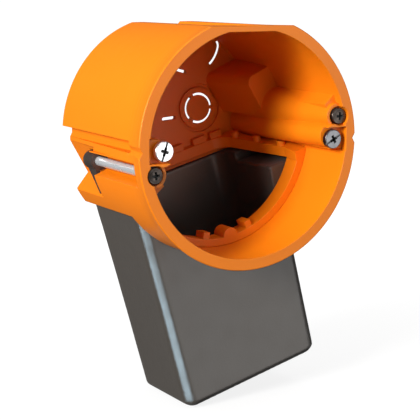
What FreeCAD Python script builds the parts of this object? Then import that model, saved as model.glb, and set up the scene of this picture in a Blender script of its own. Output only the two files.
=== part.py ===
import FreeCAD, Part
import math
import os

os.makedirs("parts", exist_ok=True)

# All sizes in millimetres. x runs to the right, y into the wall, z up.
# The front face of the rim lies at y = 0, and the mouth faces -y.

# Round housing
body_radius = 36.8
rim_flare = 1.7
body_depth = 56.0
flare_length = 11.0
flare_bands = 5
side_wall = 2.0
rear_wall = 1.8
rim_edge = 0.3
rear_edge = 0.5
inner_corner = 0.8

# Flat on top with a shallow channel down its middle
top_flat_height = 35.5
top_flat_drop = 0.5
flat_wall = 1.7
channel_half_width = 6.9
channel_slope_width = 1.1
channel_depth = 1.2

# Open lower side of the body, square to an axis that leans to the right
lean = 15.0
ring_depth = 22.5
cut_height = 14.4

# Screws for a device, and the notch and groove on the line through them
device_screw_spacing = 60.0
device_shank_radius = 1.6
device_shank_length = 14.5
device_head_radius = 3.0
device_head_height = 1.9
device_head_proud = 0.25
head_edge = 0.25
device_recess = 2.4
device_recess_low = -4.0
device_recess_high = 3.6
device_recess_inner = 6.0
device_recess_outer = 4.9
device_column_front = 3.7
device_column_rear = 4.8
device_column_raise = 0.9
device_column_out = 0.4
device_column_low = -3.4
device_column_high = 4.0
notch_half_width = 2.1
notch_depth = 1.2
groove_front = 9.5
groove_depth = 3.6
groove_low = -1.6
groove_high = 1.0
groove_slope = 0.27
groove_corner = 0.6
lip_fall = 2.9
lip_top = 3.4

# Claw screws and claws
claw_screw_inset = 4.2
claw_screw_z = 7.0
claw_shank_radius = 1.5
claw_head_radius = 2.6
claw_head_height = 1.6
claw_head_dome = 0.5
claw_boss_recess = 1.6
claw_sink = 0.8
claw_boss_radius = 4.0
claw_column_radius = 6.9
claw_web_front = 3.0
shank_channel_front = 6.0
shank_channel_radius = 3.0
claw_front = 37.3
claw_length = 5.8
claw_collar_radius = 2.9
claw_arm_reach = 10.2
claw_arm_thickness = 1.9
claw_arm_lead = 0.7
claw_arm_angle = 80.0
claw_tip_depth = 0.5
claw_tip_thickness = 0.5
claw_pocket_front = 36.2
claw_pocket_wall = 1.4
bulge_rounding = 2.4
bulge_spread = 4.9
core_share = 0.42

# Clearances
running_gap = 0.06
seat_gap = 0.1
free_gap = 0.4

# Knock-outs in the rear wall
small_ring_x = 12.9
small_ring_z = 5.9
small_ring_radius = 4.8
small_ring_width = 0.75
ring_bridge = 1.0
groove_ring_inner = 7.0
groove_ring_outer = 8.2
groove_ring_depth = 0.8
large_ring_x = 10.6
large_ring_z = 28.3
large_ring_radius = 10.3
large_ring_width = 0.9
large_ring_corner = 2.2
large_ring_side = 20.0
knockout_skin = 0.4
knockout_relief = 1.3
slot_x = 1.6
slot_z = 2.9
slot_length = 5.3
slot_width = 1.2
slot_turn = 4.0

# Clamp frame for the pouch
collar_front = 21.0
collar_depth = 6.1
collar_wall = 2.5
frame_top_front = 13.9
frame_top_rear = 8.9
frame_bottom_front = 17.2
frame_bottom_rear = 12.6
frame_rear_wall = 1.9
frame_side_wall = 1.7
frame_right_inset = 2.9
frame_corner = 6.0
bump_radius = 2.6
bump_angle = 95.0
tooth_width = 2.3
tooth_height = 2.1
tooth_front_step = 0.6
tooth_rear_step = 0.8
tooth_angles = [81.5, 110.5]
rear_tooth_depth = 1.6
rear_tooth_height = 1.9
rear_teeth = [(1.8, 5.0), (10.9, 5.2), (17.4, 4.4)]
peg_radius = 1.4
peg_height = 1.7
peg_depths = [29.5, 39.0, 48.0]

# Pouch
pouch_wall = 1.5
pouch_left_inset = 4.9
pouch_right_inset = 14.6
pouch_rear_inset = 0.5
pouch_bottom = 83.4
pouch_taper = 0.85
pouch_rear_narrowing = 1.7
pouch_corner = 3.8
pouch_wide_corner = 7.0
pouch_bottom_edge = 3.3
flange_height = 4.6
flange_space_rear = 46.5

# Sizes that follow from the ones above
rim_radius = body_radius + rim_flare
claw_screw_x = body_radius - claw_screw_inset
groove_floor = body_radius - groove_depth
cavity_radius = body_radius - side_wall
inner_depth = body_depth - rear_wall
inner_flat_height = top_flat_height - flat_wall
device_screw_x = device_screw_spacing / 2
claw_rear = claw_front + claw_length
claw_seat = claw_boss_recess + claw_sink
bulge_front = claw_pocket_front - claw_pocket_wall
collar_outer = cavity_radius - seat_gap
collar_inner = collar_outer - collar_wall
collar_rear = collar_front + collar_depth
pouch_left = body_radius - pouch_left_inset
pouch_right = body_radius - pouch_right_inset
frame_right_rear = pouch_right - frame_right_inset
pouch_front = ring_depth + seat_gap
pouch_rear = body_depth - pouch_rear_inset
pouch_top = cut_height + seat_gap
shoulder_rear = collar_rear + seat_gap + pouch_wall
past = 2.0
far = 60.0


def vec(x, y, z):
    return FreeCAD.Vector(x, y, z)


def bar(x, z, front, rear, radius, rear_radius=None):
    """Round bar along y, or a cone when the rear radius differs."""
    base = vec(x, front, z)
    if rear_radius is None:
        return Part.makeCylinder(radius, rear - front, base, vec(0, 1, 0))
    return Part.makeCone(radius, rear_radius, rear - front, base, vec(0, 1, 0))


def prism(points, front, rear):
    """Extrude a polygon of x, z corners along y."""
    corners = [vec(x, front, z) for x, z in points]
    face = Part.Face(Part.makePolygon(corners + corners[:1]))
    return face.extrude(vec(0, rear - front, 0))


def side_prism(points, left, right):
    """Extrude a polygon of y, z corners along x."""
    corners = [vec(left, y, z) for y, z in points]
    face = Part.Face(Part.makePolygon(corners + corners[:1]))
    return face.extrude(vec(right - left, 0, 0))


def plan_prism(points, low, high):
    """Extrude a polygon of x, y corners along z."""
    corners = [vec(x, y, low) for x, y in points]
    face = Part.Face(Part.makePolygon(corners + corners[:1]))
    return face.extrude(vec(0, 0, high - low))


def block(x0, x1, y0, y1, z0, z1):
    return Part.makeBox(x1 - x0, y1 - y0, z1 - z0, vec(x0, y0, z0))


def turned(corners):
    """Revolve a closed outline in the x, y plane about the y axis."""
    face = Part.Face(Part.makePolygon(corners + corners[:1]))
    solid = face.revolve(vec(0, 0, 0), vec(0, 1, 0), 360)
    return Part.Solid(solid.Shells[0]) if solid.ShapeType != "Solid" else solid


def half_turn(shape):
    """The same shape on the other side of the box."""
    other = shape.copy()
    other.rotate(vec(0, 0, 0), vec(0, 1, 0), 180)
    return other


def leaned(shape):
    """Turn a shape that was drawn upright so that its foot moves right."""
    other = shape.copy()
    other.rotate(vec(0, 0, 0), vec(0, 1, 0), -lean)
    return other


def both_sides(shapes):
    return shapes + [half_turn(shape) for shape in shapes]


def flare_radius(y):
    """Outer radius of the body: an arc that runs out into the cylinder."""
    step = rim_radius - body_radius
    bend = (flare_length ** 2 + step ** 2) / (2 * step)
    return body_radius + bend - math.sqrt(bend ** 2 - (flare_length - y) ** 2)


def round_body():
    corners = [vec(0, 0, 0), vec(rim_radius - rim_edge, 0, 0)]
    for band in range(flare_bands + 1):
        y = rim_edge + (flare_length - rim_edge) * band / flare_bands
        corners.append(vec(flare_radius(y), y, 0))
    corners.append(vec(body_radius, body_depth - rear_edge, 0))
    corners.append(vec(body_radius - rear_edge, body_depth, 0))
    corners.append(vec(0, body_depth, 0))
    return turned(corners)


def round_cavity():
    corners = [
        vec(0, -past, 0),
        vec(cavity_radius, -past, 0),
        vec(cavity_radius, inner_depth - inner_corner, 0),
        vec(cavity_radius - inner_corner, inner_depth, 0),
        vec(0, inner_depth, 0),
    ]
    return turned(corners)


def top_flat_cut():
    """Slice off the top, a little lower at the rear."""
    rear_height = top_flat_height - top_flat_drop
    outline = [(-past, top_flat_height), (body_depth + past, rear_height)]
    outline += [(body_depth + past, far), (-past, far)]
    return side_prism(outline, -far, far)


def channel_section(y, depth):
    floor = channel_half_width - channel_slope_width
    height = top_flat_height - top_flat_drop * y / body_depth
    slope = channel_slope_width / channel_depth
    reach = floor + slope * (depth + 1.0)
    low = height - depth
    high = height + 1.0
    corners = [vec(-floor, y, low), vec(floor, y, low), vec(reach, y, high), vec(-reach, y, high)]
    return Part.makePolygon(corners + corners[:1])


def top_channel_cut():
    """Channel with sloping sides that starts at nothing near the rim."""
    start = channel_section(0, 0.02)
    end = channel_section(body_depth + past, channel_depth)
    return Part.makeLoft([start, end], True, True)


def notch_cut():
    """V in the rim at the right-hand device screw, getting deeper with the flare."""
    tip = rim_radius - notch_depth
    outer = rim_radius + notch_depth
    flank = notch_half_width * (outer - tip) / notch_depth
    shape = prism([(tip, 0), (outer, flank), (outer, -flank)], -past, groove_front + 0.5)
    fall = math.degrees(math.atan2(rim_radius - body_radius, flare_length))
    shape.rotate(vec(tip, 0, 0), vec(0, 0, 1), fall)
    return shape


def groove_cut():
    """Groove along the right side, outside the device screw's column."""
    floor = groove_floor
    low = groove_low
    high = groove_high
    outline = [(floor, low), (far, low - groove_slope * (far - floor)), (far, high)]
    outline += [(floor + groove_corner, high), (floor, low / 8)]
    return prism(outline, groove_front, body_depth + past)


def lip_cut():
    """The strip beside the groove falls away towards the rear."""
    front = flare_length + 1.0
    fallen = body_radius - lip_fall
    outline = [(body_radius, front), (fallen, body_depth)]
    outline += [(fallen, body_depth + past), (far, body_depth + past), (far, front)]
    return plan_prism(outline, groove_low, lip_top)


def near_claw(points):
    """Corners given from the axis of the right claw screw."""
    return [(claw_screw_x + x, claw_screw_z + z) for x, z in points]


def shank_channel_cut():
    """Open channel around the right claw screw's shank."""
    x = claw_screw_x
    z = claw_screw_z
    r = shank_channel_radius
    round_part = bar(x, z, shank_channel_front, claw_pocket_front + 1.0, r)
    low = z - r
    outline = [(x, low), (far, low - 0.05 * (far - x))]
    outline += [(far, z + 2.8 + 0.39 * (far - x + 1.1)), (x - 1.1, z + 2.8), (x - 1.1, z)]
    mouth_part = prism(outline, shank_channel_front, claw_pocket_front + 1.0)
    return round_part.fuse(mouth_part)


def claw_pocket_cut():
    """V-shaped pocket for the folded right claw, open to the rear."""
    outline = near_claw([(1.3, -4.7), (-4.9, 6.2), (-0.4, 11.7), (-0.4 + far, 11.7 + far), (far, -4.7)])
    wedge = prism(outline, claw_pocket_front, body_depth + past)
    radius = claw_collar_radius + free_gap
    collar_space = bar(claw_screw_x, claw_screw_z, claw_pocket_front, claw_rear + free_gap, radius)
    return wedge.fuse(collar_space)


def core_cut():
    """Hollow behind the pocket's inner bulge, narrowing towards a point at its front."""
    wide = near_claw([(-6.6, 12.6), (-14.2, 8.9), (-11.0, 4.0), (-4.0, 10.6)])
    tip_x, tip_z = near_claw([(-5.1, 10.2)])[0]
    front = claw_pocket_front + 4.0
    rear = body_depth + past
    narrow = [(tip_x + core_share * (x - tip_x), tip_z + core_share * (z - tip_z)) for x, z in wide]
    first = [vec(x, front, z) for x, z in narrow]
    last = [vec(x, rear, z) for x, z in wide]
    return flat_sided(first, last)


def claw_column():
    """Inner column around the right claw screw, wider towards the rear."""
    x = claw_screw_x
    z = claw_screw_z
    start = claw_boss_recess
    front = bar(x, z, start, claw_pocket_front, claw_boss_radius, claw_column_radius)
    rear = bar(x, z, claw_pocket_front, inner_depth + 1.0, claw_column_radius)
    web_outline = near_claw([(-4.0, 3.6), (-0.7, 6.5), (far, 6.5), (far, 1.0), (-2.6, 1.0)])
    web = prism(web_outline, claw_web_front, claw_pocket_front)
    return front.fuse(rear).fuse(web)


def claw_bulge():
    """Raised inner side of the claw pocket, reaching further inwards at the rear wall."""
    outline = near_claw([(0.3, 15.6), (-11.8, 10.2), (-11.8, 7.6), (-5.3, -2.6), (6.3, 1.0)])
    corners = [vec(x, bulge_front, z) for x, z in outline]
    face = Part.Face(Part.makePolygon(corners + corners[:1]))
    shape = face.extrude(vec(-bulge_spread, inner_depth + 1.0 - bulge_front, 0))
    soft = [edge for edge in shape.Edges if is_bulge_edge(edge)]
    return shape.makeFillet(bulge_rounding, soft)


def is_bulge_edge(edge):
    """The long upper edge nearest to the middle of the box."""
    ends = [vertex.Point for vertex in edge.Vertexes]
    runs_back = abs(ends[0].y - ends[1].y) > 5
    inner = all(point.x < claw_screw_x - 10.9 for point in ends)
    upper = all(point.z > claw_screw_z + 10.0 for point in ends)
    return runs_back and inner and upper


def device_column():
    """Inner column for the right device screw, wider to the rear, flat underneath."""
    x = device_screw_x + device_column_out
    rear = inner_depth + 1.0
    column = bar(x, device_column_raise, 0, rear, device_column_front, device_column_rear)
    column = column.cut(block(0, far, -past, rear + past, -far, device_column_low))
    web = block(x, far, 0, rear, device_column_low, device_column_high)
    return column.fuse(web)


def inner_walls():
    """Columns and bulges that stand inside the round cavity."""
    return both_sides([claw_column(), claw_bulge(), device_column()])


def device_recess_cut():
    """The device column ends a little behind the rim."""
    x = device_screw_x
    left = x - device_recess_inner
    right = x + device_recess_outer
    return block(left, right, -past, device_recess, device_recess_low, device_recess_high)


def screw_bores():
    """Holes of the two right-hand screws."""
    claw_x = claw_screw_x
    claw_z = claw_screw_z
    sink = bar(claw_x, claw_z, 0, claw_seat, claw_head_radius + free_gap)
    bore_radius = claw_shank_radius + running_gap
    bore = bar(claw_x, claw_z, 0, shank_channel_front + 1.0, bore_radius)
    pilot_rear = device_head_height + device_shank_length + 2.0
    pilot = bar(device_screw_x, 0, 0, pilot_rear, device_shank_radius + running_gap)
    return [sink, bore, pilot]


def arc_slot(x, z, radius, width, start, end):
    """Arc-shaped slot through the rear wall, angles counted from +x to +z."""
    ring = bar(x, z, inner_depth - past, body_depth + past, radius + width / 2)
    ring = ring.cut(bar(x, z, inner_depth - 2 * past, body_depth + 2 * past, radius - width / 2))
    span = end - start
    steps = max(2, int(math.ceil(span / 40.0)))
    reach = 2 * radius
    fan = [(x, z)]
    for step in range(steps + 1):
        angle = math.radians(start + span * step / steps)
        fan.append((x + reach * math.cos(angle), z + reach * math.sin(angle)))
    return ring.common(prism(fan, inner_depth - past, body_depth + past))


def knockout_cut(x, z, radius, width, start, end):
    """Arc-shaped slot through a thin skin, wider behind it."""
    slot = arc_slot(x, z, radius, width, start, end)
    relief = arc_slot(x, z, radius, width + 2 * knockout_relief, start, end)
    skin = block(-far, far, 0, inner_depth + knockout_skin, -far, far)
    return slot.fuse(relief.cut(skin))


def large_ring_arc(start, end, radius, touch):
    """Arc that runs on from the large ring where it touches it."""
    reach = large_ring_radius - radius
    x = large_ring_x + reach * math.cos(math.radians(touch))
    z = large_ring_z + reach * math.sin(math.radians(touch))
    return knockout_cut(x, z, radius, large_ring_width, start, end)


def rear_wall_cuts():
    cuts = []
    bridge = math.degrees(ring_bridge / small_ring_radius)
    for turn in range(3):
        start = 120 * turn + bridge / 2
        end = 120 * (turn + 1) - bridge / 2
        cuts.append(knockout_cut(small_ring_x, small_ring_z, small_ring_radius,
                                 small_ring_width, start, end))
    ring = bar(small_ring_x, small_ring_z, inner_depth,
               inner_depth + groove_ring_depth, groove_ring_outer)
    core = bar(small_ring_x, small_ring_z, inner_depth - past, body_depth, groove_ring_inner)
    cuts.append(ring.cut(core))
    cuts.append(large_ring_arc(-49, -12, large_ring_radius, -12))
    cuts.append(large_ring_arc(-12, 50, large_ring_corner, -12))
    cuts.append(large_ring_arc(-116, -99, large_ring_side, -95))
    cuts.append(wall_slot())
    return cuts


def wall_slot():
    """Short round-ended slot beside the small ring."""
    radius = slot_width / 2
    half = slot_length / 2 - radius
    rear = body_depth + past
    front = inner_depth - past
    shape = block(-half, half, front, rear, -radius, radius)
    shape = shape.fuse(bar(-half, 0, front, rear, radius))
    shape = shape.fuse(bar(half, 0, front, rear, radius))
    shape.rotate(vec(0, 0, 0), vec(0, 1, 0), -slot_turn)
    shape.translate(vec(slot_x, 0, slot_z))
    return shape


def open_side_cut():
    """Everything below the leaning plane, behind the front ring."""
    return leaned(block(-far, far, ring_depth, body_depth + past, -far, -cut_height))


def housing():
    shape = round_body().cut(top_flat_cut())
    shape = shape.cut(top_channel_cut())
    cavity = round_cavity()
    cavity = cavity.cut(block(-far, far, -2 * past, far, inner_flat_height, far))
    for wall in inner_walls():
        cavity = cavity.cut(wall)
    shape = shape.cut(cavity)
    outer_cuts = [notch_cut(), groove_cut(), lip_cut(), shank_channel_cut()]
    outer_cuts += [claw_pocket_cut(), core_cut(), device_recess_cut()]
    outer_cuts += screw_bores()
    for cut in both_sides(outer_cuts):
        shape = shape.cut(cut)
    for cut in rear_wall_cuts():
        shape = shape.cut(cut)
    return shape.cut(open_side_cut())


def frame_slab():
    """Leaning slab whose upper and lower faces both rise to the rear."""
    rear = inner_depth - seat_gap
    outline = [(collar_front, -frame_top_front), (rear, -frame_top_rear)]
    outline += [(rear, -frame_bottom_rear), (collar_front, -frame_bottom_front)]
    slab = side_prism(outline, -far, far)
    straight = bar(0, 0, collar_front, rear - inner_corner, collar_outer)
    narrowed = bar(0, 0, rear - inner_corner, rear, collar_outer, collar_outer - inner_corner)
    return slab.common(straight.fuse(narrowed))


def frame_opening():
    """Way through the frame into the pouch, with rounded rear corners."""
    left = -(pouch_left - pouch_wall - seat_gap - frame_side_wall)
    rear = inner_depth - seat_gap - frame_rear_wall
    front_right = shelf_edge(collar_rear)
    outline = [(left, collar_front - past), (front_right, collar_front - past)]
    outline += [(front_right, collar_rear), (shelf_edge(rear), rear), (left, rear)]
    hole = plan_prism(outline, -far, 0)
    corners = []
    for edge in hole.Edges:
        ends = [vertex.Point for vertex in edge.Vertexes]
        upright = abs(ends[0].z - ends[1].z) > 1
        if upright and ends[0].y > rear - 1:
            corners.append(edge)
    hole = hole.makeFillet(frame_corner, corners)
    front_wall = bar(0, 0, collar_front - past, collar_rear, 2 * far)
    front_wall = front_wall.cut(bar(0, 0, collar_front - 2 * past, far, collar_inner))
    return hole.cut(front_wall)


def frame_collar():
    """Arc-shaped wall that stands inside the front ring."""
    ring = bar(0, 0, collar_front, collar_rear, collar_outer)
    ring = ring.cut(bar(0, 0, collar_front - past, collar_rear + past, collar_inner))
    return ring.common(block(-far, far, 0, far, -far, -(frame_top_front + frame_bottom_front) / 2))


def collar_tooth(angle):
    """Square tooth on the inside of the collar, angle in the leaning frame."""
    inner = collar_inner - tooth_height
    half = tooth_width / 2
    front = collar_front + tooth_front_step
    rear = collar_rear - tooth_rear_step
    tooth = block(inner, collar_inner + 1.0, front, rear, -half, half)
    tooth.rotate(vec(0, 0, 0), vec(0, 1, 0), -angle)
    return tooth


def rear_tooth(centre, width):
    """Square tooth standing on the rear band of the frame."""
    rear = inner_depth - seat_gap
    half = width / 2
    low = -frame_top_rear - 1.0
    high = -frame_top_rear + rear_tooth_height
    return block(centre - half, centre + half, rear - rear_tooth_depth, rear, low, high)


def shelf_edge(y):
    """Right-hand edge of the way through the frame."""
    front_right = math.sqrt(collar_inner ** 2 - frame_bottom_front ** 2)
    rear = inner_depth - seat_gap - frame_rear_wall
    run = (y - collar_rear) / (rear - collar_rear)
    return front_right + (frame_right_rear - front_right) * run


def shelf_peg(y):
    """Round peg on the right-hand shelf, close to its edge."""
    x = shelf_edge(y) + peg_radius + seat_gap
    run = (y - collar_front) / (inner_depth - seat_gap - collar_front)
    shelf = -(frame_top_front + (frame_top_rear - frame_top_front) * run)
    return Part.makeCylinder(peg_radius, peg_height + 1.0, vec(x, y, shelf - 1.0), vec(0, 0, 1))


def with_room(shape, other, step):
    """Cut another piece out of a shape, and the same piece moved by a small step."""
    moved = other.copy()
    moved.translate(step)
    return shape.cut(other).cut(moved)


def largest(shape):
    """The piece itself, without the chips that its trimming leaves."""
    return max(shape.Solids, key=lambda solid: solid.Volume)


def pouch_frame():
    shape = frame_slab().fuse(frame_collar())
    shape = shape.cut(frame_opening())
    for angle in tooth_angles:
        shape = shape.fuse(collar_tooth(-angle))
    angle = math.radians(-bump_angle)
    bump_x = collar_inner * math.cos(angle)
    bump_z = collar_inner * math.sin(angle)
    bump = bar(bump_x, bump_z, collar_front, collar_rear, bump_radius)
    shape = shape.fuse(bump.common(bar(0, 0, collar_front, collar_rear, collar_outer)))
    for centre, width in rear_teeth:
        shape = shape.fuse(rear_tooth(centre, width))
    for y in peg_depths:
        shape = shape.fuse(shelf_peg(y))
    left = -(pouch_left - pouch_wall - seat_gap)
    side = block(-far, left, 0, far, -far, -cut_height + seat_gap)
    shape = leaned(shape.cut(side))
    for wall in inner_walls():
        middle = -free_gap if wall.BoundBox.Center.x > 0 else free_gap
        shape = with_room(shape, wall, vec(middle, 0, -free_gap))
    shape = with_room(shape, pouch(), vec(-seat_gap, 0, seat_gap))
    return largest(shape)


def pouch_section(inset, shrink, height):
    """Four-cornered outline of the pouch, a little narrower at its rear."""
    left = -pouch_left + inset + shrink
    front = pouch_front + inset + shrink / 3
    rear = pouch_rear - inset - shrink
    slope = pouch_rear_narrowing / (pouch_rear - pouch_front)
    right_front = pouch_right - inset - shrink - slope * (front - pouch_front)
    right_rear = pouch_right - inset - shrink - slope * (rear - pouch_front)
    points = [(left, front), (right_front, front), (right_rear, rear), (left, rear)]
    return [vec(x, y, height) for x, y in points]


def flat_sided(upper, lower):
    """Solid between two outlines whose sides are flat."""
    outlines = [upper, lower]
    for index in range(len(upper)):
        after = (index + 1) % len(upper)
        outlines.append([upper[index], upper[after], lower[after], lower[index]])
    faces = [Part.Face(Part.makePolygon(points + points[:1])) for points in outlines]
    solid = Part.Solid(Part.Shell(faces))
    return solid if solid.Volume > 0 else solid.reversed()


def tapered_box(inset, top, bottom, foot_radius):
    """Upright pouch body: narrower at its foot, with round corners and a flat
    bevel around the foot that touches an arc of the foot's radius."""
    shrink = (bottom - top) * math.tan(math.radians(pouch_taper))
    upper = pouch_section(inset, 0, -top)
    lower = pouch_section(inset, shrink, -bottom)
    body = flat_sided(upper, lower)
    middle_y = (pouch_front + pouch_rear) / 2
    upright = [e for e in body.Edges if e.BoundBox.ZLength > 1]
    wide = [e for e in upright if e.BoundBox.Center.x > 0 and e.BoundBox.Center.y > middle_y]
    narrow = [e for e in upright if not any(e.isSame(other) for other in wide)]
    body = body.makeFillet(pouch_corner - inset * 0.6, narrow)
    wide_place = wide[0].BoundBox.Center
    upright = [e for e in body.Edges if e.BoundBox.ZLength > 1]
    wide = [min(upright, key=lambda e: (e.BoundBox.Center - wide_place).Length)]
    body = body.makeFillet(pouch_wide_corner - inset, wide)
    foot = [e for e in body.Edges if e.BoundBox.ZMax < -bottom + 0.01]
    touching = foot_radius * (2 - math.sqrt(2))
    return body.makeChamfer(touching, foot)


def pouch_flange():
    """Band at the top right that carries on the round outline of the housing."""
    low = -pouch_top - flange_height
    band = block(0, far, pouch_front, pouch_rear, low, -pouch_top)
    return band.common(bar(0, 0, pouch_front, pouch_rear, body_radius))


def flange_space():
    """Room inside the band for the lower edge of the clamp frame."""
    front = pouch_front + pouch_wall
    low = -pouch_top - flange_height + pouch_wall
    space = block(0, far, front, flange_space_rear, low, -pouch_top + past)
    return space.common(bar(0, 0, front, flange_space_rear, body_radius - pouch_wall))


def pouch_shoulder(inset):
    """Round front part that carries on the housing's outline around the collar."""
    front = pouch_front + (pouch_wall if inset else 0)
    top = -pouch_top + (past if inset else 0)
    room = block(0, far, front, shoulder_rear - inset, -far, top)
    return room.common(bar(0, 0, front, shoulder_rear - inset, body_radius - inset))


def pouch():
    shape = tapered_box(0, pouch_top, pouch_bottom, pouch_bottom_edge)
    shape = shape.fuse(pouch_flange())
    shape = shape.fuse(pouch_shoulder(0))
    hollow = tapered_box(pouch_wall, pouch_top - past, pouch_bottom - pouch_wall,
                         pouch_bottom_edge - pouch_wall * 0.6)
    shape = shape.cut(hollow)
    shape = shape.cut(flange_space())
    shape = shape.cut(pouch_shoulder(pouch_wall))
    neck = bar(0, 0, pouch_front - past, pouch_front + pouch_wall, cavity_radius + seat_gap)
    shape = shape.cut(neck)
    return leaned(shape.removeSplitter())


def screw_head_slots(x, z, radius, front, depth, turn):
    """A straight slot and a cross recess in a screw head."""
    slot = block(-radius - 1, radius + 1, front - 1, front + depth * 0.6, -0.35, 0.35)
    cuts = [slot]
    for angle in (0, 90):
        arm = block(-radius * 0.55, radius * 0.55, front - 1, front + depth, -0.4, 0.4)
        arm.rotate(vec(0, 0, 0), vec(0, 1, 0), -angle)
        cuts.append(arm)
    for cut in cuts:
        cut.rotate(vec(0, 0, 0), vec(0, 1, 0), -turn)
        cut.translate(vec(x, 0, z))
    return cuts


def device_screw(x, turn):
    """Flat-headed screw, drawn out far enough to take a device's ring."""
    front = -device_head_proud
    seat = front + device_head_height
    head = bar(x, 0, front, seat, device_head_radius)
    rim = [e for e in head.Edges if e.BoundBox.YMax < front + 0.01]
    head = head.makeChamfer(head_edge, rim)
    shape = head.fuse(bar(x, 0, seat - 0.5, seat + device_shank_length, device_shank_radius))
    for cut in screw_head_slots(x, 0, device_head_radius, front, 1.2, turn):
        shape = shape.cut(cut)
    return shape


def claw_screw(side, turn):
    """Round-headed screw sunk in its boss, carrying a claw at the far end."""
    x = side * claw_screw_x
    z = side * claw_screw_z
    seat = claw_seat - running_gap
    front = seat - claw_head_height
    radius = claw_head_radius
    dome_radius = (radius ** 2 + claw_head_dome ** 2) / (2 * claw_head_dome)
    dome = Part.makeSphere(dome_radius, vec(x, front - claw_head_dome + dome_radius, z))
    head = bar(x, z, front - past, seat, radius).common(
        dome.fuse(bar(x, z, front + claw_head_dome, seat + 1, radius + 1)))
    shank = bar(x, z, seat - 0.5, claw_rear + free_gap / 2, claw_shank_radius)
    shape = head.fuse(shank)
    for cut in screw_head_slots(x, z, radius, front - claw_head_dome, 1.3, turn):
        shape = shape.cut(cut)
    return shape


def claw_arm():
    """Thin blade of the left claw, narrowing to a point that leans to the front."""
    reach = claw_arm_reach
    front = claw_front
    tip = front - claw_arm_lead
    outline = [(0, front), (reach, tip), (reach, tip + claw_tip_depth)]
    outline += [(claw_shank_radius, claw_rear), (0, claw_rear)]
    half = claw_arm_thickness / 2
    blade = plan_prism(outline, -half, half)
    tip_half = claw_tip_thickness / 2
    taper = [(0, -half), (reach, -half), (reach, -half + 2 * tip_half), (0, half)]
    return blade.common(prism(taper, 0, body_depth))


def claw():
    """Left claw, folded: the blade points down inside the body's outline."""
    x = -claw_screw_x
    z = -claw_screw_z
    collar = bar(x, z, claw_front, claw_rear, claw_collar_radius)
    arm = claw_arm()
    arm.rotate(vec(0, 0, 0), vec(0, 1, 0), claw_arm_angle)
    arm.translate(vec(x - 0.9, 0, z))
    shape = collar.fuse(arm)
    bore = bar(x, z, claw_front - past, claw_rear + past, claw_shank_radius + running_gap)
    return shape.cut(bore)


def save(name, shape):
    shape = shape.removeSplitter()
    solid = shape.Solids[0] if len(shape.Solids) == 1 else shape
    solid.exportStep("parts/" + name + ".step")
    print(name, "solids", len(shape.Solids), "valid", shape.isValid(), "volume", round(shape.Volume))


left_claw = claw()
save("housing", housing())
save("pouch_frame", pouch_frame())
save("pouch", pouch())
save("device_screw_left", device_screw(-device_screw_x, 68))
save("device_screw_right", device_screw(device_screw_x, 28))
save("claw_screw_left", claw_screw(-1, 95))
save("claw_screw_right", claw_screw(1, 88))
save("claw_left", left_claw)
save("claw_right", half_turn(left_claw))
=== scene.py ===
import bpy
import bmesh
import math
from mathutils import Matrix, Vector, noise
from mathutils.bvhtree import BVHTree


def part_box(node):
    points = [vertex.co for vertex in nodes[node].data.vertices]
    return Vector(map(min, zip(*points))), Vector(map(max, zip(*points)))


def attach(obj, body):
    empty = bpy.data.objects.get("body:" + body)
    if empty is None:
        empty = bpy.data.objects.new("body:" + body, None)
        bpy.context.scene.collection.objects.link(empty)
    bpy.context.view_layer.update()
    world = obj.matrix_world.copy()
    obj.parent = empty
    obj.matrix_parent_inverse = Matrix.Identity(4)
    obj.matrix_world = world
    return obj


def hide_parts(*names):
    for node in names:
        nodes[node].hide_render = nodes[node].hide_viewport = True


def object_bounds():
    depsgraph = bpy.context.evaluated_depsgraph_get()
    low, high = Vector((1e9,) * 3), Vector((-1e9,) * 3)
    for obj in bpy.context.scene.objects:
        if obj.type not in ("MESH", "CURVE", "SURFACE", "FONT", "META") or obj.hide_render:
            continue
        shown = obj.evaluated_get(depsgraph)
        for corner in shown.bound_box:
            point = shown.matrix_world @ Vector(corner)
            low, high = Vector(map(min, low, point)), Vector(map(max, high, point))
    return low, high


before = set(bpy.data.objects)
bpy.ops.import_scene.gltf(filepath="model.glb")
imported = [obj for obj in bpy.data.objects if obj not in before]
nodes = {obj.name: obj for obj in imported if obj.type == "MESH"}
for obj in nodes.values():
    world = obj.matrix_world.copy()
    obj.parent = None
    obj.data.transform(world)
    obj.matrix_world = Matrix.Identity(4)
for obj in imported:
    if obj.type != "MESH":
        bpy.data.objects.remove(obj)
cadLow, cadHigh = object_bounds()
mm = 0.001
directionKind = "NodeSocketVector"
amountKind = "NodeSocketFloat"
colourKind = "NodeSocketColor"
print("stage: frame loaded, nodes:", sorted(nodes))


# Small helpers for node trees

def addNode(tree, kind, place=(0, 0), **settings):
    node = tree.nodes.new(kind)
    node.location = place
    for name, value in settings.items():
        setattr(node, name, value)
    return node


def setInputs(node, values):
    for name, value in values.items():
        node.inputs[name].default_value = value
    return node


def join(tree, start, end):
    tree.links.new(start, end)


def newGroup(name, inputs, outputs):
    group = bpy.data.node_groups.new(name, "ShaderNodeTree")
    for label, kind, value in inputs:
        socket = group.interface.new_socket(name=label, in_out="INPUT", socket_type=kind)
        socket.default_value = value
    for label, kind in outputs:
        group.interface.new_socket(name=label, in_out="OUTPUT", socket_type=kind)
    start = addNode(group, "NodeGroupInput", (-900, 0))
    end = addNode(group, "NodeGroupOutput", (900, 0))
    return group, start, end


def newMaterial(name, look):
    material = bpy.data.materials.new(name)
    material.use_nodes = True
    tree = material.node_tree
    shader = tree.nodes["Principled BSDF"]
    setInputs(shader, look)
    return material, tree, shader


def useGroup(tree, group, values, place=(-400, 0)):
    node = addNode(tree, "ShaderNodeGroup", place)
    node.node_tree = group
    return setInputs(node, values)


# Shared effects: a mould's skin, rounded edges, and handling marks on metal

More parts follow.
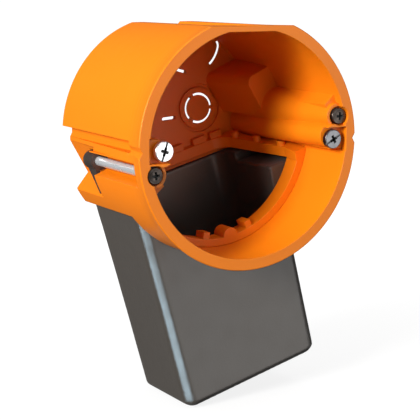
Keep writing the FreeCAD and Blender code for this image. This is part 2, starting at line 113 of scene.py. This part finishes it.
def makeMouldSkin():
    group, start, end = newGroup(
        "mouldSkin",
        [("Colour", colourKind, (1, 1, 1, 1)), ("Shade", colourKind, (0, 0, 0, 1)),
         ("Drift", amountKind, 0.2), ("Flow Scale", amountKind, 30.0),
         ("Roughness", amountKind, 0.4), ("Roughness Spread", amountKind, 0.08),
         ("Grain Scale", amountKind, 2500.0), ("Grain Height", amountKind, 0.1),
         ("Ripple Height", amountKind, 0.1), ("Edge Radius", amountKind, 0.0002)],
        [("Colour", colourKind), ("Roughness", amountKind), ("Normal", directionKind)])
    where = addNode(group, "ShaderNodeTexCoord", (-900, 300))
    stretch = addNode(group, "ShaderNodeMapping", (-700, 300))
    # Plastic flows from the rear to the rim
    stretch.inputs["Scale"].default_value = (1.0, 0.35, 1.0)
    join(group, where.outputs["Object"], stretch.inputs["Vector"])
    flow = addNode(group, "ShaderNodeTexNoise", (-500, 300))
    setInputs(flow, {"Detail": 3.0, "Roughness": 0.55, "Distortion": 0.6})
    join(group, stretch.outputs["Vector"], flow.inputs["Vector"])
    join(group, start.outputs["Flow Scale"], flow.inputs["Scale"])
    amount = addNode(group, "ShaderNodeMath", (-300, 300), operation="MULTIPLY")
    join(group, flow.outputs["Fac"], amount.inputs[0])
    join(group, start.outputs["Drift"], amount.inputs[1])
    tint = addNode(group, "ShaderNodeMix", (-100, 300), data_type="RGBA")
    join(group, amount.outputs["Value"], tint.inputs["Factor"])
    join(group, start.outputs["Colour"], tint.inputs["A"])
    join(group, start.outputs["Shade"], tint.inputs["B"])
    join(group, tint.outputs["Result"], end.inputs["Colour"])

    smear = addNode(group, "ShaderNodeTexNoise", (-500, 0))
    setInputs(smear, {"Scale": 160.0, "Detail": 4.0, "Roughness": 0.6})
    join(group, where.outputs["Object"], smear.inputs["Vector"])
    centre = addNode(group, "ShaderNodeMath", (-300, 0), operation="SUBTRACT")
    centre.inputs[1].default_value = 0.5
    join(group, smear.outputs["Fac"], centre.inputs[0])
    spread = addNode(group, "ShaderNodeMath", (-100, 0), operation="MULTIPLY_ADD")
    join(group, centre.outputs["Value"], spread.inputs[0])
    join(group, start.outputs["Roughness Spread"], spread.inputs[1])
    join(group, start.outputs["Roughness"], spread.inputs[2])
    join(group, spread.outputs["Value"], end.inputs["Roughness"])

    grain = addNode(group, "ShaderNodeTexNoise", (-500, -300))
    setInputs(grain, {"Detail": 2.0, "Roughness": 0.5})
    join(group, where.outputs["Object"], grain.inputs["Vector"])
    join(group, start.outputs["Grain Scale"], grain.inputs["Scale"])
    soft = addNode(group, "ShaderNodeBevel", (-500, -600), samples=6)
    join(group, start.outputs["Edge Radius"], soft.inputs["Radius"])
    ripple = addNode(group, "ShaderNodeBump", (-100, -300))
    ripple.inputs["Distance"].default_value = 0.0004
    join(group, start.outputs["Ripple Height"], ripple.inputs["Strength"])
    join(group, smear.outputs["Fac"], ripple.inputs["Height"])
    join(group, soft.outputs["Normal"], ripple.inputs["Normal"])
    bump = addNode(group, "ShaderNodeBump", (200, -300))
    bump.inputs["Distance"].default_value = 0.00006
    join(group, start.outputs["Grain Height"], bump.inputs["Strength"])
    join(group, grain.outputs["Fac"], bump.inputs["Height"])
    join(group, ripple.outputs["Normal"], bump.inputs["Normal"])
    join(group, bump.outputs["Normal"], end.inputs["Normal"])
    return group


def makeMetalSkin():
    group, start, end = newGroup(
        "metalSkin",
        [("Colour", colourKind, (0.8, 0.8, 0.8, 1)),
         ("Tarnish", colourKind, (0.3, 0.3, 0.3, 1)),
         ("Tarnish Amount", amountKind, 0.3), ("Tarnish Scale", amountKind, 400.0),
         ("Roughness", amountKind, 0.3), ("Turning Height", amountKind, 0.1)],
        [("Colour", colourKind), ("Roughness", amountKind), ("Normal", directionKind)])
    where = addNode(group, "ShaderNodeTexCoord", (-900, 200))
    cloud = addNode(group, "ShaderNodeTexNoise", (-600, 200))
    setInputs(cloud, {"Detail": 5.0, "Roughness": 0.65})
    join(group, where.outputs["Object"], cloud.inputs["Vector"])
    join(group, start.outputs["Tarnish Scale"], cloud.inputs["Scale"])
    ramp = addNode(group, "ShaderNodeMapRange", (-400, 200))
    setInputs(ramp, {"From Min": 0.35, "From Max": 0.75})
    join(group, cloud.outputs["Fac"], ramp.inputs["Value"])
    amount = addNode(group, "ShaderNodeMath", (-200, 200), operation="MULTIPLY")
    join(group, ramp.outputs["Result"], amount.inputs[0])
    join(group, start.outputs["Tarnish Amount"], amount.inputs[1])
    tint = addNode(group, "ShaderNodeMix", (0, 200), data_type="RGBA")
    join(group, amount.outputs["Value"], tint.inputs["Factor"])
    join(group, start.outputs["Colour"], tint.inputs["A"])
    join(group, start.outputs["Tarnish"], tint.inputs["B"])
    join(group, tint.outputs["Result"], end.inputs["Colour"])
    rough = addNode(group, "ShaderNodeMath", (0, 0), operation="MULTIPLY_ADD")
    rough.inputs[1].default_value = 0.25
    join(group, amount.outputs["Value"], rough.inputs[0])
    join(group, start.outputs["Roughness"], rough.inputs[2])
    join(group, rough.outputs["Value"], end.inputs["Roughness"])
    rings = addNode(group, "ShaderNodeTexWave", (-600, -300),
                    wave_type="RINGS", rings_direction="Y")
    setInputs(rings, {"Scale": 900.0, "Distortion": 1.5, "Detail": 2.0, "Detail Scale": 3.0})
    join(group, where.outputs["Object"], rings.inputs["Vector"])
    bump = addNode(group, "ShaderNodeBump", (0, -300))
    bump.inputs["Distance"].default_value = 0.00002
    join(group, start.outputs["Turning Height"], bump.inputs["Strength"])
    join(group, rings.outputs["Fac"], bump.inputs["Height"])
    join(group, bump.outputs["Normal"], end.inputs["Normal"])
    return group


mouldSkin = makeMouldSkin()
metalSkin = makeMetalSkin()


def skinnedMaterial(name, group, look, skin):
    material, tree, shader = newMaterial(name, look)
    node = useGroup(tree, group, skin)
    join(tree, node.outputs["Colour"], shader.inputs["Base Color"])
    join(tree, node.outputs["Roughness"], shader.inputs["Roughness"])
    join(tree, node.outputs["Normal"], shader.inputs["Normal"])
    return material


orangeBody = skinnedMaterial(
    "orangeBody", mouldSkin,
    {"IOR": 1.45, "Specular IOR Level": 0.30},
    {"Colour": (0.84, 0.213, 0.005, 1), "Shade": (0.78, 0.184, 0.003, 1),
     "Drift": 0.5, "Flow Scale": 34.0,
     "Roughness": 0.40, "Roughness Spread": 0.16, "Grain Scale": 2300.0, "Grain Height": 0.14,
     "Ripple Height": 0.05, "Edge Radius": 0.00035})
softPouch = skinnedMaterial(
    "softPouch", mouldSkin,
    {"IOR": 1.5, "Specular IOR Level": 0.5, "Sheen Weight": 0.12, "Sheen Roughness": 0.45},
    {"Colour": (0.062, 0.054, 0.046, 1), "Shade": (0.046, 0.040, 0.035, 1),
     "Drift": 0.6, "Flow Scale": 26.0,
     "Roughness": 0.36, "Roughness Spread": 0.22, "Grain Scale": 1300.0, "Grain Height": 0.4,
     "Ripple Height": 0.16, "Edge Radius": 0.0004})
zincPlate = skinnedMaterial(
    "zincPlate", metalSkin, {"Metallic": 1.0},
    {"Colour": (0.88, 0.89, 0.90, 1), "Tarnish": (0.62, 0.64, 0.66, 1), "Tarnish Amount": 0.35,
     "Tarnish Scale": 500.0, "Roughness": 0.30, "Turning Height": 0.25})
brightShank = skinnedMaterial(
    "brightShank", metalSkin, {"Metallic": 0.5},
    {"Colour": (0.66, 0.70, 0.73, 1), "Tarnish": (0.50, 0.53, 0.56, 1), "Tarnish Amount": 0.3,
     "Tarnish Scale": 500.0, "Roughness": 0.22, "Turning Height": 0.03})
# Painted dark reflection: the same zinc plating as zincPlate, made darker where the right device
# screw mirrors the dark inside of the box
zincPaintedDarkReflection = skinnedMaterial(
    "zincPaintedDarkReflection", metalSkin, {"Metallic": 1.0},
    {"Colour": (0.20, 0.20, 0.21, 1), "Tarnish": (0.11, 0.11, 0.115, 1), "Tarnish Amount": 0.5,
     "Tarnish Scale": 450.0, "Roughness": 0.3, "Turning Height": 0.25})
darkHead = skinnedMaterial(
    "darkHead", metalSkin, {"Metallic": 1.0},
    {"Colour": (0.085, 0.070, 0.062, 1), "Tarnish": (0.03, 0.022, 0.018, 1), "Tarnish Amount": 0.7,
     "Tarnish Scale": 420.0, "Roughness": 0.3, "Turning Height": 0.2})
# Painted shade: near black for the cross recesses in the screw heads, which are the heads' own
# metal
recessPaintedShade = skinnedMaterial(
    "recessPaintedShade", metalSkin, {"Metallic": 0.4},
    {"Colour": (0.022, 0.021, 0.020, 1), "Tarnish": (0.010, 0.010, 0.010, 1), "Tarnish Amount": 0.5,
     "Tarnish Scale": 600.0, "Roughness": 0.5, "Turning Height": 0.1})
# Painted shade: dark grey for the slot in the device screw heads, which is the heads' own zinc
slotPaintedShade = skinnedMaterial(
    "slotPaintedShade", metalSkin, {"Metallic": 0.5},
    {"Colour": (0.16, 0.16, 0.165, 1), "Tarnish": (0.06, 0.06, 0.06, 1), "Tarnish Amount": 0.6,
     "Tarnish Scale": 600.0, "Roughness": 0.4, "Turning Height": 0.1})
gunmetal = skinnedMaterial(
    "gunmetal", metalSkin, {"Metallic": 0.55},
    {"Colour": (0.105, 0.082, 0.073, 1), "Tarnish": (0.045, 0.034, 0.030, 1), "Tarnish Amount": 0.7,
     "Tarnish Scale": 330.0, "Roughness": 0.36, "Turning Height": 0.3})
print("stage: materials built")


def dress(obj, material):
    obj.data.materials.clear()
    obj.data.materials.append(material)


for name in ("housing", "pouch_frame"):
    dress(nodes[name], orangeBody)
for name in ("claw_left", "claw_right"):
    dress(nodes[name], gunmetal)


# The pouch: the moulded shell, softened all over, a little slack on its broad sides

pouchLook = {
    "voxel": 0.62,       # mm, cell of the remesh
    "softening": 7,      # rounds of smoothing
    "slack": 0.42,       # mm, how far the broad sides sink in
    "wrinkle": 0.10,     # mm, uneven skin
    "lean": 15.0,        # degrees
    "middle": (-4.9, 39.0, 49.0),  # mm, across, into the wall and down, in the leaning frame
    "half": (27.0, 16.4, 34.5),    # mm
    "firm": (37.0, 39.5),          # mm from the box's axis, between which the neck turns soft
    "wander": 0.07,                # waves of the uneven skin per mm
}
# mm, the pouch's open mouth, which a thin film in the solid would close
pouchMouth = {"radius": 34.6, "rear": 24.9, "left": -23.5, "top": -13.0}


def leaningPoint(point, lean):
    c = math.cos(math.radians(lean))
    s = math.sin(math.radians(lean))
    x, y, z = point
    return Vector((x * c + z * s, y, x * s - z * c)) / mm


def inMouth(point, mouth):
    x, y, z = point / mm
    within = math.hypot(x, z) < mouth["radius"] and y < mouth["rear"]
    return within and x > mouth["left"] and z < mouth["top"]


def openMouth(data, mouth):
    mesh = bmesh.new()
    mesh.from_mesh(data)
    film = [vertex for vertex in mesh.verts if inMouth(vertex.co, mouth)]
    bmesh.ops.delete(mesh, geom=film, context="VERTS")
    loose = [edge for edge in mesh.edges if not edge.link_faces]
    bmesh.ops.delete(mesh, geom=loose, context="EDGES")
    rim = [edge for edge in mesh.edges if len(edge.link_faces) == 1]
    closed = bmesh.ops.holes_fill(mesh, edges=rim, sides=0)["faces"]
    bmesh.ops.triangulate(mesh, faces=closed)
    mesh.to_mesh(data)
    mesh.free()


def finishedMesh(obj):
    bpy.context.view_layer.update()
    graph = bpy.context.evaluated_depsgraph_get()
    result = bpy.data.meshes.new_from_object(obj.evaluated_get(graph))
    obj.modifiers.clear()
    obj.data = result
    return result


def smoothCopy(source, look):
    mesh = source.data.copy()
    mesh.name = "pouch_shell"
    shell = bpy.data.objects.new("pouch_shell", mesh)
    bpy.context.scene.collection.objects.link(shell)
    remesh = shell.modifiers.new("remesh", "REMESH")
    remesh.mode = "VOXEL"
    remesh.voxel_size = look["voxel"] * mm
    smooth = shell.modifiers.new("smooth", "SMOOTH")
    smooth.factor = 0.5
    smooth.iterations = look["softening"]
    finishedMesh(shell)
    return shell


def skinOf(data):
    corners = [vertex.co for vertex in data.vertices]
    faces = [polygon.vertices[:] for polygon in data.polygons]
    return BVHTree.FromPolygons(corners, faces)


def softenPouch(source, look, mouth):
    shell = smoothCopy(source, look)
    result = shell.data
    c = math.cos(math.radians(look["lean"]))
    s = math.sin(math.radians(look["lean"]))
    across = Vector((c, 0, s))
    middle = look["middle"]
    half = look["half"]
    firm = look["firm"]
    skin = skinOf(source.data)
    for vertex in result.vertices:
        place = leaningPoint(vertex.co, look["lean"])
        a = (place.x - middle[0]) / half[0]
        b = (place.y - middle[1]) / half[1]
        d = (place.z - middle[2]) / half[2]
        calm = max(0.0, 1.0 - d * d)
        bowA = max(0.0, 1.0 - b * b) * calm
        bowB = max(0.0, 1.0 - a * a) * calm
        inA = -math.copysign(look["slack"] * bowA * min(1.0, a * a), a)
        inB = -math.copysign(look["slack"] * bowB * min(1.0, b * b), b)
        wave = noise.noise(place * look["wander"] + Vector((3.1, 0.4, 7.7)))
        uneven = wave * look["wrinkle"] * calm
        vertex.co += (across * (inA + uneven) + Vector((0, 1, 0)) * (inB + uneven)) * mm
        reach = math.hypot(vertex.co.x, vertex.co.z) / mm
        if reach < firm[1]:
            hold = min(1.0, (firm[1] - reach) / (firm[1] - firm[0]))
            vertex.co = vertex.co.lerp(skin.find_nearest(vertex.co)[0], hold)
    openMouth(result, mouth)
    for polygon in result.polygons:
        polygon.use_smooth = True
    return shell


pouchShell = softenPouch(nodes["pouch"], pouchLook, pouchMouth)
dress(pouchShell, softPouch)
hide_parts("pouch")
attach(pouchShell, "box")
print("stage: pouch shell,", len(pouchShell.data.polygons), "faces")


# Screws: turned heads with a slot and a cross, and rolled threads

def ringMesh(profile, steps):
    mesh = bmesh.new()
    rows = []
    for radius, along in profile:
        if radius < 1e-6:
            rows.append([mesh.verts.new((0, along, 0))])
            continue
        row = []
        for step in range(steps):
            angle = 2 * math.pi * step / steps
            row.append(mesh.verts.new((radius * math.cos(angle), along, radius * math.sin(angle))))
        rows.append(row)
    for first, second in zip(rows, rows[1:]):
        for step in range(steps):
            after = (step + 1) % steps
            if len(first) == 1:
                mesh.faces.new((first[0], second[step], second[after]))
            elif len(second) == 1:
                mesh.faces.new((first[step], second[0], first[after]))
            else:
                mesh.faces.new((first[step], second[step], second[after], first[after]))
    bmesh.ops.recalc_face_normals(mesh, faces=mesh.faces)
    return mesh


def objectFrom(mesh, name, material):
    data = bpy.data.meshes.new(name)
    mesh.to_mesh(data)
    mesh.free()
    obj = bpy.data.objects.new(name, data)
    bpy.context.scene.collection.objects.link(obj)
    data.materials.append(material)
    return obj


def recessCutter(name, armLength, armWidth, depth, foot, turn, material):
    mesh = bmesh.new()
    rows = []
    for along, shrink in ((-1.0 * mm, 1.0), (depth, foot)):
        half = armLength * shrink
        side = armWidth * (0.5 + 0.5 * shrink) / 2
        row = []
        for x, z in ((-half, -side), (half, -side), (half, side), (-half, side)):
            row.append(mesh.verts.new((x, along, z)))
        rows.append(row)
    mesh.faces.new(rows[0])
    mesh.faces.new(list(reversed(rows[1])))
    for step in range(4):
        after = (step + 1) % 4
        mesh.faces.new((rows[0][step], rows[1][step], rows[1][after], rows[0][after]))
    bmesh.ops.recalc_face_normals(mesh, faces=mesh.faces)
    bmesh.ops.rotate(mesh, verts=mesh.verts, cent=(0, 0, 0), matrix=Matrix.Rotation(turn, 3, "Y"))
    return objectFrom(mesh, name, material)


def cutOut(obj, cutters):
    for cutter in cutters:
        cut = obj.modifiers.new("cut", "BOOLEAN")
        cut.operation = "DIFFERENCE"
        cut.solver = "EXACT"
        cut.object = cutter
        # the cut faces take the cutter's material, which paints shade into the slot and cross
        cut.material_mode = "TRANSFER"
    finishedMesh(obj)
    for cutter in cutters:
        bpy.data.objects.remove(cutter)
    return obj


backEdge = 0.15  # mm, broken edge behind a head


def headProfile(look):
    radius = look["headRadius"]
    edge = look["edge"]
    dome = look["dome"]
    height = look["headHeight"]
    points = [(0, 0)]
    for step in range(1, 9):
        share = step / 8
        points.append(((radius - edge) * share, dome * share * share))
    for step in range(1, 6):
        angle = math.pi / 2 * step / 5
        points.append((radius - edge + edge * math.sin(angle), dome + edge * (1 - math.cos(angle))))
    points.append((radius, height - backEdge))
    points.append((radius - backEdge, height))
    points.append((0, height))
    return [(r * mm, y * mm) for r, y in points]


shankLook = {
    "sunk": 0.2,        # mm of the shank inside its head
    "rows": 6,          # rings of points for each turn of the thread
    "tip": 0.7,         # length of the tip, of the radius
    "narrowing": 0.62,  # of the radius, at the very end
    "crest": 1.7,       # how sharp the thread's crest is
}


def threadedShank(look, steps):
    mesh = bmesh.new()
    radius = look["shankRadius"]
    depth = look["threadDepth"]
    pitch = look["pitch"]
    start = look["headHeight"] - shankLook["sunk"]
    end = look["length"]
    tip = radius * shankLook["tip"]
    count = int((end - start) / pitch * shankLook["rows"]) + 1
    rows = []
    for index in range(count + 1):
        along = start + (end - start) * index / count
        limit = radius
        if along > end - tip:
            limit = radius * (1 - shankLook["narrowing"] * (along - (end - tip)) / tip)
        row = []
        for step in range(steps):
            turn = step / steps
            phase = (along / pitch + turn) % 1.0
            crest = abs(2 * phase - 1)
            groove = depth * (1 - min(1.0, crest * shankLook["crest"]))
            fade = min(1.0, max(0.0, (along - look["plain"]) / pitch))
            r = max(0.2, limit - groove * fade)
            angle = 2 * math.pi * turn
            place = (r * mm * math.cos(angle), along * mm, r * mm * math.sin(angle))
            row.append(mesh.verts.new(place))
        rows.append(row)
    for first, second in zip(rows, rows[1:]):
        for step in range(steps):
            after = (step + 1) % steps
            mesh.faces.new((first[step], second[step], second[after], first[after]))
    mesh.faces.new(rows[0])
    mesh.faces.new(list(reversed(rows[-1])))
    bmesh.ops.recalc_face_normals(mesh, faces=mesh.faces)
    return mesh


def shadeByAngle(obj, degrees):
    for polygon in obj.data.polygons:
        polygon.use_smooth = True
    obj.data.set_sharp_from_angle(angle=math.radians(degrees))


def headCutters(name, look):
    cutters = []
    if "slot" in look:
        # the slot takes the dark grey painted shade
        slot = look["slot"]
        cutters.append(recessCutter(
            name + "_slot", look["headRadius"] * 1.2 * mm, slot["width"] * mm,
            slot["depth"] * mm, 1.0, 0.0, slotPaintedShade))
    cross = look["cross"]
    for arm, angle in enumerate((0.0, math.pi / 2)):
        # the cross recesses take the near-black painted shade
        cutters.append(recessCutter(
            name + "_cross%d" % arm, cross["reach"] * mm, cross["width"] * mm,
            cross["depth"] * mm, cross["foot"], angle, recessPaintedShade))
    return cutters


def makeScrew(name, look, place, turn):
    head = objectFrom(ringMesh(headProfile(look), 72), name, look["headMaterial"])
    cutOut(head, headCutters(name, look))
    shadeByAngle(head, 35)
    shank = objectFrom(threadedShank(look, 28), name + "_shank", look["shankMaterial"])
    shadeByAngle(shank, 60)
    both = bmesh.new()
    both.from_mesh(head.data)
    slots = len(head.data.materials)
    first = len(both.faces)
    both.from_mesh(shank.data)
    both.faces.ensure_lookup_table()
    for index in range(first, len(both.faces)):
        both.faces[index].material_index = slots
    both.to_mesh(head.data)
    both.free()
    head.data.materials.append(look["shankMaterial"])
    bpy.data.objects.remove(shank)
    head.location = [value * mm for value in place]
    head.rotation_euler = (0, -math.radians(turn), 0)
    return head


# Sizes in mm; the length is the node's own
deviceScrewLook = {
    "headRadius": 3.0, "headHeight": 1.9, "edge": 0.35, "dome": 0.12,
    "slot": {"width": 0.66, "depth": 0.5},
    "cross": {"reach": 1.7, "width": 1.05, "depth": 1.3, "foot": 0.5},
    "shankRadius": 1.6, "threadDepth": 0.28, "pitch": 0.8, "plain": 2.4,
    "shankMaterial": zincPlate,
}
clawScrewLook = {
    "headRadius": 2.6, "headHeight": 2.0, "edge": 0.5, "dome": 0.45,
    "cross": {"reach": 1.65, "width": 0.95, "depth": 1.4, "foot": 0.5},
    "shankRadius": 1.5, "threadDepth": 0.02, "pitch": 0.7, "plain": 4.0,
    "shankMaterial": brightShank,
}
clawScrewParts = []
screwPlaces = {
    "device_screw_left": (deviceScrewLook, (-30.0, 0.0), zincPlate, 72),
    # the right head takes the zinc with the painted dark reflection
    "device_screw_right": (deviceScrewLook, (30.0, 0.0), zincPaintedDarkReflection, 28),
    "claw_screw_left": (clawScrewLook, (-32.6, -7.0), darkHead, 95),
    "claw_screw_right": (clawScrewLook, (32.6, 7.0), darkHead, 88),
}
# each head's material: its plating, or for the right device screw the zinc with a painted dark
# reflection
for name, (look, spot, headMaterialChoice, turn) in screwPlaces.items():
    low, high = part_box(name)
    along = low[1] / mm
    look = dict(look)
    look["headMaterial"] = headMaterialChoice
    look["length"] = (high[1] - low[1]) / mm - 0.01
    screw = makeScrew(name + "_turned", look, (spot[0], along, spot[1]), turn)
    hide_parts(name)
    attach(screw, name)
    if name.startswith("claw"):
        clawScrewParts.append(screw)
print("stage: screws built")


# Camera, floor and light, as in the photograph

cameraLook = {
    "place": (-215.67, -336.46, 51.06),  # mm
    "azimuth": 30.85, "elevation": 10.05, "roll": 0.108,
    "lens": 114.94,
}


def makeCamera(look):
    data = bpy.data.cameras.new("camera")
    data.sensor_width = 36.0
    data.lens = look["lens"]
    data.clip_start = 0.01
    camera = bpy.data.objects.new("camera", data)
    bpy.context.scene.collection.objects.link(camera)
    camera.location = [value * mm for value in look["place"]]
    turn = Matrix.Rotation(-math.radians(look["azimuth"]), 4, "Z")
    tilt = Matrix.Rotation(math.radians(90 - look["elevation"]), 4, "X")
    roll = Matrix.Rotation(math.radians(look["roll"]), 4, "Z")
    camera.rotation_euler = (turn @ tilt @ roll).to_euler()
    bpy.context.scene.camera = camera
    return camera


makeCamera(cameraLook)

floorLook = {
    "size": 40.0, "below": 0.0006, "colour": (0.20, 0.20, 0.20, 1), "mottle": 0.985,
    "nearGlow": 0.85, "farGlow": 1.0,  # light that only the camera sees
    "nearEdge": 0.12, "fade": 0.35,    # m, between which the floor turns fully white
}


def makeFloor(look):
    mesh = bmesh.new()
    half = look["size"] / 2
    height = cadLow[2] - look["below"]
    square = ((-half, -half), (half, -half), (half, half), (-half, half))
    mesh.faces.new([mesh.verts.new((x, y, height)) for x, y in square])
    material, tree, shader = newMaterial("paleFloor", {"Roughness": 0.9, "Specular IOR Level": 0.0})
    mottle = addNode(tree, "ShaderNodeTexNoise", (-500, 0))
    setInputs(mottle, {"Scale": 8.0, "Detail": 2.0})
    tone = addNode(tree, "ShaderNodeMix", (-300, 0), data_type="RGBA")
    tone.inputs["A"].default_value = look["colour"]
    darker = [value * look["mottle"] for value in look["colour"][:3]]
    tone.inputs["B"].default_value = darker + [1]
    join(tree, mottle.outputs["Fac"], tone.inputs["Factor"])
    join(tree, tone.outputs["Result"], shader.inputs["Base Color"])
    floor = objectFrom(mesh, "floor", material)
    where = addNode(tree, "ShaderNodeTexCoord", (-1100, 300))
    reach = addNode(tree, "ShaderNodeVectorMath", (-900, 300), operation="LENGTH")
    join(tree, where.outputs["Object"], reach.inputs[0])
    spread = addNode(tree, "ShaderNodeMapRange", (-700, 300), interpolation_type="SMOOTHSTEP")
    setInputs(spread, {"From Min": look["nearEdge"], "From Max": look["fade"],
                       "To Min": look["nearGlow"], "To Max": look["farGlow"]})
    join(tree, reach.outputs["Value"], spread.inputs["Value"])
    rays = addNode(tree, "ShaderNodeLightPath", (-700, 600))
    level = addNode(tree, "ShaderNodeMath", (-300, 400), operation="MULTIPLY")
    join(tree, rays.outputs["Is Camera Ray"], level.inputs[0])
    join(tree, spread.outputs["Result"], level.inputs[1])
    glow = addNode(tree, "ShaderNodeEmission", (-100, 400))
    join(tree, level.outputs["Value"], glow.inputs["Strength"])
    both = addNode(tree, "ShaderNodeAddShader", (300, 200))
    join(tree, shader.outputs["BSDF"], both.inputs[0])
    join(tree, glow.outputs["Emission"], both.inputs[1])
    join(tree, both.outputs["Shader"], tree.nodes["Material Output"].inputs["Surface"])
    floor.visible_glossy = False
    return floor


floor = makeFloor(floorLook)

lightLook = {
    "room": 0.28,        # the pale room all round
    "roomShine": 0.08,   # the same room in reflections, where most of it is dark
    # Name, azimuth from the left to the front and height in degrees, distance and size in m,
    # level, colour, and whether only reflections show it
    "panels": [
        ("keyPanel", 23.0, 18.0, 1.1, (0.30, 0.30), 1.50, (1.0, 0.99, 0.97), False),
        ("topPanel", 60.0, 80.0, 1.0, (0.7, 0.7), 0.34, (1.0, 1.0, 1.0), False),
        ("frontPanel", 105.0, 48.0, 1.1, (0.5, 0.5), 0.06, (1.0, 0.98, 0.96), False),
        ("faceShine", 121.0, -8.0, 0.5, (0.6, 0.6), 1.00, (1.0, 1.0, 1.0), True),
        ("edgeShine", 29.0, -42.0, 0.35, (0.44, 0.14), 3.3, (0.62, 0.85, 1.0), True),
        ("shankShine", -80.0, 34.0, 0.5, (0.40, 0.26), 0.60, (1.0, 1.0, 1.0), True),
    ],
    "onlyOn": {"edgeShine": [pouchShell], "shankShine": clawScrewParts},
    "unblocked": ["shankShine"],  # the channel's lip would hide this panel
    "aim": (0.0, 0.02, -0.02),
}


def makeRoom(look):
    world = bpy.data.worlds.new("paleRoom")
    bpy.context.scene.world = world
    world.use_nodes = True
    tree = world.node_tree
    shader = tree.nodes["Background"]
    shader.inputs["Color"].default_value = (1, 1, 1, 1)
    rays = addNode(tree, "ShaderNodeLightPath", (-900, 0))
    clear = addNode(tree, "ShaderNodeMath", (-600, 0), operation="MAXIMUM")
    join(tree, rays.outputs["Is Camera Ray"], clear.inputs[0])
    join(tree, rays.outputs["Is Transmission Ray"], clear.inputs[1])
    shine = addNode(tree, "ShaderNodeMix", (-600, 200))
    setInputs(shine, {"A": look["room"], "B": look["roomShine"]})
    join(tree, rays.outputs["Is Glossy Ray"], shine.inputs["Factor"])
    level = addNode(tree, "ShaderNodeMix", (-300, 0))
    level.inputs["B"].default_value = 1.0
    join(tree, shine.outputs["Result"], level.inputs["A"])
    join(tree, clear.outputs["Value"], level.inputs["Factor"])
    join(tree, level.outputs["Result"], shader.inputs["Strength"])


def collect(name, parts):
    group = bpy.data.collections.new(name)
    for part in parts:
        group.objects.link(part)
    return group


def makePanel(panel, look):
    name, azimuth, height, distance, size, level, colour, shineOnly = panel
    turn = math.radians(azimuth)
    rise = math.radians(height)
    flat = math.cos(rise)
    away = Vector((-math.cos(turn) * flat, -math.sin(turn) * flat, math.sin(rise)))
    data = bpy.data.lights.new(name, "AREA")
    data.shape = "RECTANGLE"
    data.size, data.size_y = size
    data.energy = level * math.pi ** 2 * distance ** 2  # a level of 1 lights white to white
    data.color = colour
    lamp = bpy.data.objects.new(name, data)
    bpy.context.scene.collection.objects.link(lamp)
    lamp.location = Vector(look["aim"]) + away * distance
    lamp.rotation_euler = away.to_track_quat("Z", "Y").to_euler()
    lamp.visible_camera = False
    lamp.visible_diffuse = not shineOnly
    linking = lamp.light_linking
    if name in look["onlyOn"]:
        linking.receiver_collection = collect(name + "On", look["onlyOn"][name])
    if name in look["unblocked"]:
        linking.blocker_collection = collect(name + "Blockers", [floor])


makeRoom(lightLook)
for panel in lightLook["panels"]:
    makePanel(panel, lightLook)
bpy.context.scene.view_settings.view_transform = "Standard"
print("stage: camera, floor and lights")
